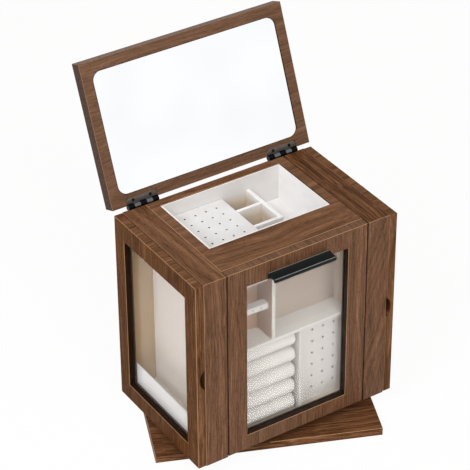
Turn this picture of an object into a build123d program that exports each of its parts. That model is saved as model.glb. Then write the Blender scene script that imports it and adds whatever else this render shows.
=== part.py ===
"""Rotating jewellery box: a glazed cabinet with a mirror lid, turning on a flat base plate.

Millimetres, +Z up. The origin is on the surface that the box stands on, on the turntable's axis.
+X runs to the right along the cabinet's front and +Y towards its back.
The lid is modelled open on its hinges, and the three glazed doors are modelled shut.
"""
import os
from collections import namedtuple
from math import cos, radians, sin

from build123d import *

os.makedirs("parts", exist_ok=True)

# ======================================================================= driving dimensions
# Cabinet
cabinet_width = 275.0
cabinet_depth = 175.0
cabinet_height = 257.0
shell_thick = 12.0          # front stiles and top boards, which meet in a mitre
stile_width = 30.0
floor_thick = 10.0
back_thick = 10.0
wall_thick = 9.5            # walls between the side bays and the middle
partition_thick = 8.0       # wall between the front bay and the tray
arris = 0.4                 # bevel along exposed board edges

# Base plate, its felt and turntable bearing
felt_thick = 1.5
felt_inset = 3.0            # its edge inside the plate's
felt_corner = 4.0
plate_width = 275.0
plate_depth = 175.0
plate_thick = 10.0
plate_turn = -22.4          # degrees that the base plate stands turned under the cabinet
bearing_height = 11.0       # base plate to cabinet floor
race_clear = 1.0            # each ring to the board that it turns over
race_gap = 2.0              # between the two rings
race_wall = 4.5
flange_thick = 3.0
flange_reach = 11.0
ball_radius = 2.5
bearing_edge_clear = 0.5    # outer ring to the floor board's back edge
ball_count = 16
ball_clear = 0.05
bearing_screw_count = 4

# Side doors
side_door_thick = 10.5
side_door_gap = 0.5         # door to carcass
side_end_gap = 1.0          # above and below
side_front_rail = 23.2
side_back_rail = 20.5
side_bottom_rail = 22.5
side_top_rail = 25.0
moon_length = 29.0          # finger notch, a segment of a circle
moon_depth = 6.5
moon_reach = 14.0
moon_offset = 2.5             # below the cabinet's middle

# Front door, which drops forward on two pins
front_back_gap = 0.8        # behind the door, to the boards that it closes against
front_side_gap = 1.0
front_bottom_gap = 0.6
front_side_rail = 26.0
front_top_rail = 24.5
front_bottom_rail = 20.0
pivot_setback = 5.6         # behind the door's face
pivot_stop_gap = 0.4        # the dropped door's bottom edge to the cabinet floor, which stops it
heel_radius = 5.4            # rounding that lets the bottom edge turn past the floor
pivot_radius = 2.0
pivot_in_door = 8.0
pivot_in_bush = 7.0
pivot_clear = 0.05
bush_wall = 1.5
bush_end = 1.0

# Glazing of all three doors
glass_thick = 2.0
glass_setback = 7.0         # outer face of a door to its glass
rebate_width = 3.2
glass_clear = 0.3
bead_setback = 0.2          # bead behind the glass to the door's inner face

# Handle, a folded strip screwed on from behind
handle_length = 84.0
handle_reach = 15.0
handle_rise = 9.3           # its top above the window's top edge
handle_wall = 2.0
handle_foot = 8.5
handle_lip = 5.6
handle_fall = 1.4           # slope of its top over the reach
handle_dish = 1.6           # hollow of its top between the back edge and the lip
handle_bend = 0.8
handle_screw_spread = 52.0
handle_screw_drop = 3.2
handle_screw_cover = 0.6    # strip left in front of each screw's tip

# Lid and mirror
lid_thick = 17.0
lid_gap = 0.6               # lid to cabinet when it is shut
lid_lean = 21.8             # degrees behind upright, on its stop
mirror_margin = 13.0
mirror_corner = 12.0
mirror_thick = 3.0
mirror_sunk = 0.8
mirror_clear = 0.3
mirror_bevel = 0.8          # polished edge of the glass

# Lid hinges
lid_axis_back = 2.4         # hinge axis behind the cabinet's back
lid_axis_drop = 0.5         # hinge axis inside the lid's lower face
lid_hinge_inset = 40.2      # middle of each hinge from the cabinet's side
lid_leaf_length = 41.0
lid_leaf_height = 8.3       # of each leaf, beyond the edge of the lid or the cabinet
lid_leaf_thick = 1.2
lid_leaf_corner = 3.5
lid_barrel_radius = 3.6
lid_pin_radius = 1.1
lid_knuckles = 5
lid_screw_spread = 23.0
lid_screw_edge = 3.4        # leaf's free edge to its screws

# Side door hinges, let into the door and the back panel
door_axis_back = 2.2
door_hinge_inset = 45.0     # middle of each hinge from the cabinet's bottom and top
door_leaf_length = 25.0
door_leaf_width = 8.0
door_leaf_thick = 1.0
door_leaf_corner = 1.5
door_barrel_radius = 1.8
door_pin_radius = 0.8
door_knuckles = 3
door_screw_spread = 13.0
door_screw_edge = 3.9

# Clearances and screws of all hinges
knuckle_gap = 0.35
pin_clear = 0.05
notch_clear = 0.35
mortise_clear = 0.2
screw_clear = 0.05
screw_tip_room = 0.5
hinge_screw_head = 2.0
hinge_screw_shank = 1.0
hinge_screw_length = 8.0
bearing_screw_head = 3.0
bearing_screw_shank = 1.5
bearing_screw_length = 10.5
handle_screw_head = 2.5
handle_screw_shank = 1.5

# Magnets that hold the doors shut
magnet_radius = 3.0
magnet_thick = 2.0
side_magnet_inset = 40.0    # from the cabinet's bottom and top
front_magnet_inset = 13.5   # from the front door's sides

# Side bays
side_bay_depth = 31.0
side_liner_thick = 2.0
liner_setback = 0.6         # open edges of all linings behind the carcass face
pocket_height = 37.5
pocket_wall = 2.2
hook_count = 6
hook_pitch = 22.0
hook_shift = 7.5            # middle of the row behind the cabinet's middle
hook_inset = 29.0            # below the cabinet's top
hook_radius = 0.9
hook_reach = 12.0
hook_rise = 4.0
hook_bend = 2.5
rose_radius = 3.0
rose_thick = 1.2

# Front bay
front_bay_depth = 33.0
bay_liner_thick = 2.5
insert_setback = 2.0        # dividers behind the carcass face
insert_round = 0.8
lower_height = 116.5        # under the shelf
shelf_thick = 4.0
ring_bay_width = 94.0
hanger_width = 55.0
upright_thick = 5.0
bar_height = 8.0
bar_depth = 10.0
bar_setback = 8.0           # bars and stud panel behind the dividers' front
bar_inset = 22.5             # ceiling to the upper bar
bar_pitch = 39.0
bar_holes = 4
bar_hole_pitch = 12.0
roll_count = 5
roll_gap = 0.4
roll_end_round = 3.5
panel_setback = 10.0
panel_skin = 2.5
stud_rows = 6
stud_row_pitch = 16.9
stud_column_pitch = 15.2
stud_left_margin = 19.8     # panel's edges to the outer columns
stud_right_margin = 13.8
stud_shift_z = 2.5
stud_hole_radius = 1.25

# Top tray
tray_side_margin = 1.0      # its opening in the top, inside the walls around it
tray_front_margin = 1.2
tray_back_margin = 2.4
tray_clear = 0.25
tray_wall = 1.8
tray_height = 48.0
tray_drop = 0.4
tray_shelf_thick = 6.0
inner_drop = 19.0           # earring board and dividers below the cabinet's top
board_width = 81.0
board_skin = 2.5
board_clear = 0.2
cell_width = 34.0
back_cell_depth = 30.0
middle_cell_depth = 33.0
long_divider_thick = 5.0
divider_thick = 4.5
board_columns = 5
board_rows = 6
board_column_pitch = 14.6
board_row_pitch = 14.9
board_shift_x = -4.7

# ======================================================================= planes and faces
plate_top = felt_thick + plate_thick
cabinet_z = plate_top + bearing_height
top_z = cabinet_z + cabinet_height
inside_low = cabinet_z + floor_thick
inside_high = top_z - shell_thick
front_y = -cabinet_depth / 2
back_y = cabinet_depth / 2
carcass_front = front_y + shell_thick
inside_back = back_y - back_thick
carcass_half = cabinet_width / 2 - side_door_thick - side_door_gap
front_half = carcass_half - stile_width - front_side_gap
joint_half = front_half + front_side_gap / 2
wall_outer = carcass_half - side_bay_depth - side_liner_thick
wall_inner = wall_outer - wall_thick
bay_back = carcass_front + front_bay_depth
partition_front = bay_back + bay_liner_thick
partition_back = partition_front + partition_thick

# ======================================================================= helpers
Screw = namedtuple("Screw", "head shank length")
Hinge = namedtuple("Hinge", "length reach thick face barrel pin knuckles corner spread screw_reach")

hinge_screw = Screw(hinge_screw_head, hinge_screw_shank, hinge_screw_length)
bearing_screw = Screw(bearing_screw_head, bearing_screw_shank, bearing_screw_length)
lid_hinge = Hinge(
    length=lid_leaf_length,
    reach=lid_axis_back + lid_leaf_height,
    thick=lid_leaf_thick,
    face=lid_axis_drop,
    barrel=lid_barrel_radius,
    pin=lid_pin_radius,
    knuckles=lid_knuckles,
    corner=lid_leaf_corner,
    spread=lid_screw_spread,
    screw_reach=lid_axis_back + lid_leaf_height - lid_screw_edge,
)
top_hinge = lid_hinge._replace(
    reach=lid_gap + lid_axis_drop + lid_leaf_height + lid_leaf_thick,
    face=lid_leaf_thick - lid_axis_back,
    screw_reach=lid_gap + lid_axis_drop + lid_leaf_height + lid_leaf_thick - lid_screw_edge,
)
door_hinge = Hinge(
    length=door_leaf_length,
    reach=door_axis_back + door_leaf_width,
    thick=door_leaf_thick,
    face=-side_door_gap / 2,
    barrel=door_barrel_radius,
    pin=door_pin_radius,
    knuckles=door_knuckles,
    corner=door_leaf_corner,
    spread=door_screw_spread,
    screw_reach=door_axis_back + door_leaf_width - door_screw_edge,
)


def finish(piece, name):
    """Label a finished piece and write its STEP file."""
    piece.part.label = name
    export_step(piece.part, f"parts/{name}.step")


def finish_mirrored(piece, name):
    """Make, label and write the right-hand twin of a left-hand piece."""
    with BuildPart() as twin:
        mirror(piece.part, about=Plane.YZ)
    finish(twin, name)


def block(x_span, y_span, z_span, mode=Mode.ADD):
    """Add a square-edged block, given by its three pairs of faces."""
    with Locations((x_span[0], y_span[0], z_span[0])):
        Box(
            x_span[1] - x_span[0],
            y_span[1] - y_span[0],
            z_span[1] - z_span[0],
            align=(Align.MIN, Align.MIN, Align.MIN),
            mode=mode,
        )


def spread_spots(plane, spread, reach=0.0, height=0.0):
    """Two locations on a plane, a spread apart along its X."""
    return [plane.location * Location((side * spread / 2, reach, height)) for side in (-1, 1)]


def countersunk(screw):
    """A countersunk screw: its head is flush with local Z = 0 and it points down."""
    neck = screw.head - screw.shank
    with BuildPart() as made:
        with BuildSketch(Plane.XZ):
            with BuildLine():
                Polyline(
                    (0, 0),
                    (screw.head, 0),
                    (screw.shank, -neck),
                    (screw.shank, screw.shank - screw.length),
                    (0, -screw.length),
                    close=True,
                )
            make_face()
        revolve(axis=Axis.Z)
    return made.part


def screw_hole(screw, depth):
    """Cut a countersunk hole at each current location, where a screw's head lies flush."""
    right_angle = 90
    CounterSinkHole(screw.shank + screw_clear, screw.head + screw_clear, depth, right_angle)


def pilot(screw):
    """Cut a screw's hole behind the plate that it holds, at each current location."""
    screw_hole(screw, screw.length + screw_tip_room)


def rod(radius, length, mode=Mode.ADD):
    """Add a cylinder along local X at each current location."""
    Cylinder(radius, length, rotation=(0, 90, 0), mode=mode)


def hinge_screws(hinge, planes):
    """Where the screws of some leaves stand: on each leaf's open face."""
    spots = []
    for plane in planes:
        spots += spread_spots(plane, hinge.spread, hinge.screw_reach, hinge.face)
    return spots


def hinge_leaf(hinge, first_knuckle):
    """One hinge leaf: its axis is local X, its plate points to +Y and its open face to +Z."""
    pitch = hinge.length / hinge.knuckles
    start = hinge.barrel + knuckle_gap
    middles = [(i + 0.5) * pitch - hinge.length / 2 for i in range(first_knuckle, hinge.knuckles, 2)]
    with BuildPart() as leaf:
        with BuildSketch(Plane.XY.offset(hinge.face)):
            with Locations((0, (start + hinge.reach) / 2)):
                Rectangle(hinge.length, hinge.reach - start)
            fillet(vertices().group_by(Axis.Y)[-1], radius=hinge.corner)
            with Locations(*[(x, start / 2) for x in middles]):
                Rectangle(pitch - knuckle_gap, start)
        extrude(amount=-hinge.thick)
        with Locations(*[(x, 0, 0) for x in middles]):
            rod(hinge.barrel, pitch - knuckle_gap)
        rod(hinge.pin + pin_clear, hinge.length, mode=Mode.SUBTRACT)
        with Locations(*hinge_screws(hinge, [Plane.XY])):
            screw_hole(hinge_screw, hinge.thick)
    return leaf.part


def leaf_seats(hinge, planes):
    """Cut the shallow seats that hinge plates lie in."""
    for plane in planes:
        with BuildSketch(plane.offset(hinge.face)) as seat:
            with Locations((0, hinge.reach / 2)):
                Rectangle(hinge.length + 2 * mortise_clear, hinge.reach + 2 * mortise_clear)
        extrude(seat.sketch, amount=-hinge.thick, mode=Mode.SUBTRACT)


def barrel_notches(hinge, planes):
    """Cut the round notches that keep a board's edge clear of the hinge barrels."""
    with Locations(*[plane.location for plane in planes]):
        rod(hinge.barrel + notch_clear, hinge.length + 2 * notch_clear, mode=Mode.SUBTRACT)


def magnets(spots):
    """Disc magnets, each with its open face on its spot's XY plane."""
    with BuildPart() as made:
        with Locations(*spots):
            Cylinder(magnet_radius, magnet_thick, align=(Align.CENTER, Align.CENTER, Align.MAX))
    return made.part


def magnet_seats(spots):
    """Cut the flush seats of the magnets."""
    with Locations(*spots):
        Hole(magnet_radius, depth=magnet_thick)


def glazed_frame(face, size, window, window_centre, thick):
    """A door with its outer face on a plane, a window in it and a rebate behind for the glass."""
    with BuildPart() as frame:
        with BuildSketch(face):
            Rectangle(*size)
            with Locations(window_centre):
                Rectangle(*window, mode=Mode.SUBTRACT)
        extrude(amount=-thick)
        outer = faces().sort_by(Axis(face.origin, face.z_dir))[-1]
        chamfer(outer.edges(), arris)
        with BuildSketch(face.offset(-glass_setback)):
            with Locations(window_centre):
                Rectangle(window[0] + 2 * rebate_width, window[1] + 2 * rebate_width)
        extrude(amount=glass_setback - thick, mode=Mode.SUBTRACT)
    return frame.part


def pane(face, window, window_centre):
    """The glass of a door, in its rebate."""
    lap = 2 * (rebate_width - glass_clear)
    with BuildPart() as made:
        with BuildSketch(face.offset(-glass_setback)):
            with Locations(window_centre):
                Rectangle(window[0] + lap, window[1] + lap)
        extrude(amount=-glass_thick)
    return made.part


def bead(face, window, window_centre, thick):
    """The frame behind a door's glass, which holds it in the rebate."""
    with BuildPart() as made:
        with BuildSketch(face.offset(-glass_setback - glass_thick)):
            with Locations(window_centre):
                Rectangle(window[0] + 2 * rebate_width, window[1] + 2 * rebate_width)
                Rectangle(*window, mode=Mode.SUBTRACT)
        extrude(amount=glass_setback + glass_thick + bead_setback - thick)
    return made.part


# ======================================================================= base and turntable
plate_plane = Plane.XY.rotated((0, 0, plate_turn)).offset(felt_thick)
ball_height = plate_top + bearing_height / 2
outer_flange_radius = inside_back - bearing_edge_clear
ball_circle_radius = outer_flange_radius - flange_reach - race_wall - race_gap / 2
inner_race = ball_circle_radius - race_gap / 2
outer_race = ball_circle_radius + race_gap / 2
inner_screws = inner_race - race_wall - flange_reach / 2
outer_screws = outer_flange_radius - flange_reach / 2
inner_flange = Plane.XY.offset(plate_top + flange_thick)
outer_flange = Plane.XY.offset(cabinet_z - flange_thick).rotated((180, 0, 0))


def race_ring(bore, race, foot_z, open_z):
    """A turntable ring: a flange on the board at foot_z and a wall with the balls' groove."""
    side = 1 if race > bore else -1
    up = 1 if open_z > foot_z else -1
    with BuildPart() as ring:
        with BuildSketch(Plane.XZ):
            with BuildLine():
                Polyline(
                    (bore, foot_z),
                    (race, foot_z),
                    (race, open_z),
                    (race - side * race_wall, open_z),
                    (race - side * race_wall, foot_z + up * flange_thick),
                    (bore, foot_z + up * flange_thick),
                    close=True,
                )
            make_face()
            with Locations((ball_circle_radius, ball_height)):
                groove = 2 * (ball_radius + ball_clear)
                Rectangle(groove, groove, rotation=45, mode=Mode.SUBTRACT)
        revolve(axis=Axis.Z)
    return ring.part


with BuildPart() as base_plate:
    with BuildSketch(plate_plane):
        Rectangle(plate_width, plate_depth)
    extrude(amount=plate_thick)
    chamfer(base_plate.edges().filter_by(Axis.Z), arris)
    chamfer(base_plate.faces().sort_by(Axis.Z)[-1].edges(), arris)
    with Locations(inner_flange):
        with PolarLocations(inner_screws, bearing_screw_count):
            pilot(bearing_screw)
finish(base_plate, "base_plate")

with BuildPart() as base_felt:
    with BuildSketch(plate_plane):
        RectangleRounded(plate_width - 2 * felt_inset, plate_depth - 2 * felt_inset, felt_corner)
    extrude(amount=-felt_thick)
finish(base_felt, "base_felt")

with BuildPart() as bearing_inner_ring:
    add(race_ring(inner_race - race_wall - flange_reach, inner_race, plate_top, cabinet_z - race_clear))
    with Locations(inner_flange):
        with PolarLocations(inner_screws, bearing_screw_count):
            screw_hole(bearing_screw, flange_thick)
finish(bearing_inner_ring, "bearing_inner_ring")

with BuildPart() as bearing_inner_screws:
    with Locations(inner_flange):
        with PolarLocations(inner_screws, bearing_screw_count):
            add(countersunk(bearing_screw))
finish(bearing_inner_screws, "bearing_inner_screws")

with BuildPart() as bearing_balls:
    with Locations((0, 0, ball_height)):
        with PolarLocations(ball_circle_radius, ball_count):
            Sphere(ball_radius)
finish(bearing_balls, "bearing_balls")

with BuildPart() as bearing_outer_ring:
    add(race_ring(outer_flange_radius, outer_race, cabinet_z, plate_top + race_clear))
    with Locations(outer_flange):
        with PolarLocations(outer_screws, bearing_screw_count):
            screw_hole(bearing_screw, flange_thick)
finish(bearing_outer_ring, "bearing_outer_ring")

with BuildPart() as bearing_outer_screws:
    with Locations(outer_flange):
        with PolarLocations(outer_screws, bearing_screw_count):
            add(countersunk(bearing_screw))
finish(bearing_outer_screws, "bearing_outer_screws")

# ======================================================================= hinge and magnet places
# Lid: X along the hinges, Y from them to the lid's free edge, Z out of the mirror side.
lid_axis = (0, back_y + lid_axis_back, top_z + lid_gap + lid_axis_drop)
lean = radians(lid_lean)
lid_plane = Plane(lid_axis, x_dir=(1, 0, 0), z_dir=(0, -cos(lean), sin(lean)))
lid_hinge_spread = cabinet_width - 2 * lid_hinge_inset
lid_leaf_planes = [Plane(spot) for spot in spread_spots(lid_plane, lid_hinge_spread)]
# Cabinet top: Y points down its back, Z out of it.
top_plane = Plane(lid_axis, x_dir=(1, 0, 0), z_dir=(0, 1, 0))
top_leaf_planes = [Plane(spot) for spot in spread_spots(top_plane, lid_hinge_spread)]
# Left door hinges: Y points to the front, Z out of the leaf's open face.
door_axis_x = carcass_half + side_door_gap / 2
door_axis_y = back_y + door_axis_back
door_hinge_zs = (cabinet_z + door_hinge_inset, top_z - door_hinge_inset)
door_hinge_spots = [(-door_axis_x, door_axis_y, z) for z in door_hinge_zs]
door_leaf_planes = [Plane(spot, x_dir=(0, 0, 1), z_dir=(1, 0, 0)) for spot in door_hinge_spots]
frame_leaf_planes = [Plane(spot, x_dir=(0, 0, -1), z_dir=(-1, 0, 0)) for spot in door_hinge_spots]

side_magnet_y = front_y + shell_thick / 2
side_magnet_zs = (cabinet_z + side_magnet_inset, top_z - side_magnet_inset)
stile_magnets = [Plane((-carcass_half, side_magnet_y, z), z_dir=(-1, 0, 0)).location for z in side_magnet_zs]
left_door_magnets = [
    Plane((-carcass_half - side_door_gap, side_magnet_y, z), z_dir=(1, 0, 0)).location for z in side_magnet_zs
]
front_magnet_z = top_z - shell_thick / 2
front_door_back = carcass_front - front_back_gap
top_magnet_plane = Plane((0, carcass_front, front_magnet_z), x_dir=(1, 0, 0), z_dir=(0, -1, 0))
front_magnet_spread = 2 * (front_half - front_magnet_inset)
top_magnets = spread_spots(top_magnet_plane, front_magnet_spread)
front_magnet_plane = Plane((0, front_door_back, front_magnet_z), x_dir=(1, 0, 0), z_dir=(0, 1, 0))
front_door_magnets = spread_spots(front_magnet_plane, front_magnet_spread)

# ======================================================================= cabinet carcass
with BuildPart() as cabinet_floor:
    block((-carcass_half, carcass_half), (carcass_front, inside_back), (cabinet_z, inside_low))
    with Locations(outer_flange):
        with PolarLocations(outer_screws, bearing_screw_count):
            pilot(bearing_screw)
finish(cabinet_floor, "cabinet_floor")

with BuildPart() as back_panel:
    block((-carcass_half, 0), (inside_back, back_y), (cabinet_z, inside_high))
    leaf_seats(door_hinge, frame_leaf_planes)
    with Locations(*hinge_screws(door_hinge, frame_leaf_planes)):
        pilot(hinge_screw)
    mirror(about=Plane.YZ)
finish(back_panel, "back_panel")

with BuildPart() as inner_walls:
    block((-wall_outer, -wall_inner), (carcass_front, inside_back), (inside_low, inside_high))
    mirror(about=Plane.YZ)
finish(inner_walls, "inner_walls")

pivot_y = front_y + pivot_setback
pivot_z = cabinet_z + front_bottom_gap + shell_thick - pivot_stop_gap - pivot_setback
bush_radius = pivot_radius + pivot_clear + bush_wall
stile_inner = -carcass_half + stile_width
with BuildPart() as left_front_stile:
    with BuildSketch(Plane.YZ.offset(-carcass_half)):
        with BuildLine():
            Polyline(
                (front_y, cabinet_z),
                (carcass_front, cabinet_z),
                (carcass_front, inside_high),
                (front_y + arris / 2, top_z - arris / 2),
                (front_y, top_z - arris),
                close=True,
            )
        make_face()
    extrude(amount=stile_width)
    chamfer(left_front_stile.faces().sort_by(Axis.Y)[0].edges().filter_by(Axis.Z), arris)
    magnet_seats(stile_magnets)
    with Locations((stile_inner, pivot_y, pivot_z)):
        rod(bush_radius, 2 * (pivot_in_bush + bush_end), mode=Mode.SUBTRACT)
finish(left_front_stile, "left_front_stile")
finish_mirrored(left_front_stile, "right_front_stile")

with BuildPart() as left_top_board:
    with BuildSketch(Plane.YZ.offset(-carcass_half)):
        with BuildLine():
            Polyline(
                (front_y + arris, top_z),
                (front_y + arris / 2, top_z - arris / 2),
                (carcass_front, inside_high),
                (back_y, inside_high),
                (back_y, top_z),
                close=True,
            )
        make_face()
    extrude(amount=carcass_half - joint_half)
    chamfer(left_top_board.faces().sort_by(Axis.Z)[-1].edges().sort_by(Axis.Y)[1:], arris)
    barrel_notches(top_hinge, top_leaf_planes[:1])
    with Locations(*hinge_screws(top_hinge, top_leaf_planes[:1])):
        pilot(hinge_screw)
finish(left_top_board, "left_top_board")
finish_mirrored(left_top_board, "right_top_board")

tray_x = wall_inner - tray_side_margin
tray_front = partition_back + tray_front_margin
tray_back = inside_back - tray_back_margin
with BuildPart() as centre_top_frame:
    block((-joint_half, joint_half), (carcass_front, back_y), (inside_high, top_z))
    block((-tray_x, tray_x), (tray_front, tray_back), (inside_high, top_z), mode=Mode.SUBTRACT)
    chamfer(centre_top_frame.faces().sort_by(Axis.Z)[-1].edges(), arris)
    barrel_notches(top_hinge, top_leaf_planes)
    with Locations(*hinge_screws(top_hinge, top_leaf_planes)):
        pilot(hinge_screw)
    magnet_seats(top_magnets)
finish(centre_top_frame, "centre_top_frame")

with BuildPart() as front_partition:
    block((-wall_inner, wall_inner), (partition_front, partition_back), (inside_low, inside_high))
finish(front_partition, "front_partition")

tray_low = top_z - tray_drop - tray_height
with BuildPart() as tray_shelf:
    block((-wall_inner, wall_inner), (partition_back, inside_back), (tray_low - tray_shelf_thick, tray_low))
finish(tray_shelf, "tray_shelf")

# ======================================================================= side bays
liner_front = carcass_front + side_liner_thick
liner_low = inside_low + side_liner_thick
liner_side = wall_outer + side_liner_thick
liner_open = liner_setback - carcass_half
with BuildPart() as left_bay_liner:
    block((liner_open, -wall_outer), (carcass_front, inside_back), (inside_low, inside_high))
    offset(amount=-side_liner_thick, openings=left_bay_liner.faces().sort_by(Axis.X)[0])
finish(left_bay_liner, "left_bay_liner")
finish_mirrored(left_bay_liner, "right_bay_liner")

with BuildPart() as side_pockets:
    block(
        (liner_open, liner_open + pocket_wall),
        (liner_front, inside_back - side_liner_thick),
        (liner_low, liner_low + pocket_height),
    )
    chamfer(side_pockets.faces().sort_by(Axis.Z)[-1].edges().filter_by(Axis.Y), arris)
    mirror(about=Plane.YZ)
finish(side_pockets, "side_pockets")


def chain_hook():
    """A wire hook on a round rose: it leaves the wall along -X and turns up at its end."""
    with BuildPart() as hook:
        with BuildLine(Plane.XZ):
            FilletPolyline((0, 0), (-hook_reach, 0), (-hook_reach, hook_rise), radius=hook_bend)
        with BuildSketch(Plane.YZ):
            Circle(hook_radius)
        sweep()
        with Locations((-rose_thick / 2, 0, 0)):
            rod(rose_radius, rose_thick)
    return hook.part


with BuildPart() as chain_hooks:
    with Locations((-liner_side, hook_shift, top_z - hook_inset)):
        with GridLocations(1, hook_pitch, 1, hook_count):
            add(chain_hook())
    mirror(about=Plane.YZ)
finish(chain_hooks, "chain_hooks")

# ======================================================================= front bay
bay_low = inside_low + bay_liner_thick
bay_high = inside_high - bay_liner_thick
bay_half = wall_inner - bay_liner_thick
insert_front = carcass_front + insert_setback
shelf_low = bay_low + lower_height
shelf_high = shelf_low + shelf_thick
ring_right = -bay_half + ring_bay_width
hanger_right = -bay_half + hanger_width
panel_left = ring_right + upright_thick
bay_open = carcass_front + liner_setback
with BuildPart() as front_bay_liner:
    block((-wall_inner, wall_inner), (bay_open, partition_front), (inside_low, inside_high))
    offset(amount=-bay_liner_thick, openings=front_bay_liner.faces().sort_by(Axis.Y)[0])
finish(front_bay_liner, "front_bay_liner")

with BuildPart() as front_bay_shelf:
    block((-bay_half, bay_half), (insert_front, bay_back), (shelf_low, shelf_high))
    fillet(front_bay_shelf.faces().sort_by(Axis.Y)[0].edges().filter_by(Axis.X), insert_round)
finish(front_bay_shelf, "front_bay_shelf")

with BuildPart() as front_bay_uprights:
    block((hanger_right, hanger_right + upright_thick), (insert_front, bay_back), (shelf_high, bay_high))
    block((ring_right, panel_left), (insert_front, bay_back), (bay_low, shelf_low))
    fillet(front_bay_uprights.faces().group_by(Axis.Y)[0].edges().filter_by(Axis.Z), insert_round)
finish(front_bay_uprights, "front_bay_uprights")

bar_front = insert_front + bar_setback
bar_tops = (bay_high - bar_inset, bay_high - bar_inset - bar_pitch)
with BuildPart() as earring_hanger_bars:
    for top in bar_tops:
        block((-bay_half, hanger_right), (bar_front, bar_front + bar_depth), (top - bar_height, top))
    fillet(earring_hanger_bars.faces().group_by(Axis.Y)[0].edges().filter_by(Axis.X), insert_round)
    for top in bar_tops:
        middle = (hanger_width / 2 - bay_half, bar_front, top - bar_height / 2)
        with Locations(Plane(middle, x_dir=(1, 0, 0), z_dir=(0, -1, 0))):
            with GridLocations(bar_hole_pitch, 1, bar_holes, 1):
                Hole(stud_hole_radius, depth=bar_depth)
finish(earring_hanger_bars, "earring_hanger_bars")

roll_pitch = lower_height / roll_count
roll_radius = (roll_pitch - roll_gap) / 2
with BuildPart() as ring_rolls:
    for row in range(roll_count):
        middle = bay_low + (row + 0.5) * roll_pitch
        with BuildSketch(Plane.YZ.offset(-bay_half + roll_gap)):
            with BuildLine():
                nose = CenterArc((insert_front + roll_radius, middle), roll_radius, 90, 180)
                low = (bay_back, middle - roll_radius)
                high = (bay_back, middle + roll_radius)
                Polyline(nose @ 1, low, high, nose @ 0)
            make_face()
        extrude(amount=ring_bay_width - 2 * roll_gap)
    right_ends = ring_rolls.faces().group_by(Axis.X)[-1]
    fillet([edge for end in right_ends for edge in end.edges().sort_by(Axis.Y)[:3]], roll_end_round)
finish(ring_rolls, "ring_rolls")

with BuildPart() as stud_panel:
    block((panel_left, bay_half), (insert_front + panel_setback, bay_back), (bay_low, shelf_low))
    offset(amount=-panel_skin, openings=stud_panel.faces().sort_by(Axis.Y)[-1])
    column_room = bay_half - panel_left - stud_left_margin - stud_right_margin
    stud_columns = 1 + round(column_room / stud_column_pitch)
    panel_middle = (
        panel_left + stud_left_margin + column_room / 2,
        insert_front + panel_setback,
        (bay_low + shelf_low) / 2 + stud_shift_z,
    )
    with Locations(Plane(panel_middle, x_dir=(1, 0, 0), z_dir=(0, -1, 0))):
        with GridLocations(stud_column_pitch, stud_row_pitch, stud_columns, stud_rows):
            Hole(stud_hole_radius, depth=panel_skin)
finish(stud_panel, "stud_panel")

# ======================================================================= top tray
with BuildPart() as tray_box:
    block(
        (tray_clear - tray_x, tray_x - tray_clear),
        (tray_front + tray_clear, tray_back - tray_clear),
        (tray_low, tray_low + tray_height),
    )
    offset(amount=-tray_wall, openings=tray_box.faces().sort_by(Axis.Z)[-1])
    chamfer(tray_box.faces().sort_by(Axis.Z)[-1].outer_wire().edges(), arris)
finish(tray_box, "tray_box")

tray_inner_x = tray_x - tray_clear - tray_wall
tray_inner_front = tray_front + tray_clear + tray_wall
tray_inner_back = tray_back - tray_clear - tray_wall
tray_floor_z = tray_low + tray_wall
insert_z = top_z - inner_drop
board_right = -tray_inner_x + board_clear + board_width
cell_right = board_right + board_clear + cell_width
with BuildPart() as tray_earring_board:
    block(
        (-tray_inner_x + board_clear, board_right),
        (tray_inner_front + board_clear, tray_inner_back - board_clear),
        (tray_floor_z, insert_z),
    )
    offset(amount=-board_skin, openings=tray_earring_board.faces().sort_by(Axis.Z)[0])
    fillet(tray_earring_board.faces().sort_by(Axis.Z)[-1].edges(), insert_round)
    board_x = (board_right - tray_inner_x) / 2 + board_shift_x
    board_y = (tray_inner_front + tray_inner_back) / 2
    with Locations(Plane.XY.offset(insert_z)):
        with Locations((board_x, board_y)):
            with GridLocations(board_column_pitch, board_row_pitch, board_columns, board_rows):
                Hole(stud_hole_radius, depth=board_skin)
finish(tray_earring_board, "tray_earring_board")

back_cell_front = tray_inner_back - back_cell_depth
middle_cell_back = back_cell_front - divider_thick
middle_cell_front = middle_cell_back - middle_cell_depth
front_divider = middle_cell_front - divider_thick
divider_span = (board_right + board_clear, cell_right)
divider_zs = (tray_floor_z, insert_z)
with BuildPart() as tray_dividers:
    block((cell_right, cell_right + long_divider_thick), (front_divider, tray_inner_back), divider_zs)
    block(divider_span, (front_divider, middle_cell_front), divider_zs)
    block(divider_span, (middle_cell_back, back_cell_front), divider_zs)
    fillet(tray_dividers.faces().sort_by(Axis.Z)[-1].edges(), insert_round)
finish(tray_dividers, "tray_dividers")

# ======================================================================= cabinet hardware
with BuildPart() as top_hinge_leaves:
    with Locations(*[plane.location for plane in top_leaf_planes]):
        add(hinge_leaf(top_hinge, 0))
finish(top_hinge_leaves, "top_hinge_leaves")

with BuildPart() as frame_hinge_leaves:
    with Locations(*[plane.location for plane in frame_leaf_planes]):
        add(hinge_leaf(door_hinge, 0))
    mirror(about=Plane.YZ)
finish(frame_hinge_leaves, "frame_hinge_leaves")

with BuildPart() as hinge_pins:
    with Locations(*[plane.location for plane in top_leaf_planes]):
        rod(lid_hinge.pin, lid_hinge.length)
    with Locations(*[plane.location for plane in frame_leaf_planes]):
        door_pins = rod(door_hinge.pin, door_hinge.length)
    mirror(door_pins, about=Plane.YZ)
finish(hinge_pins, "hinge_pins")

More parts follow.
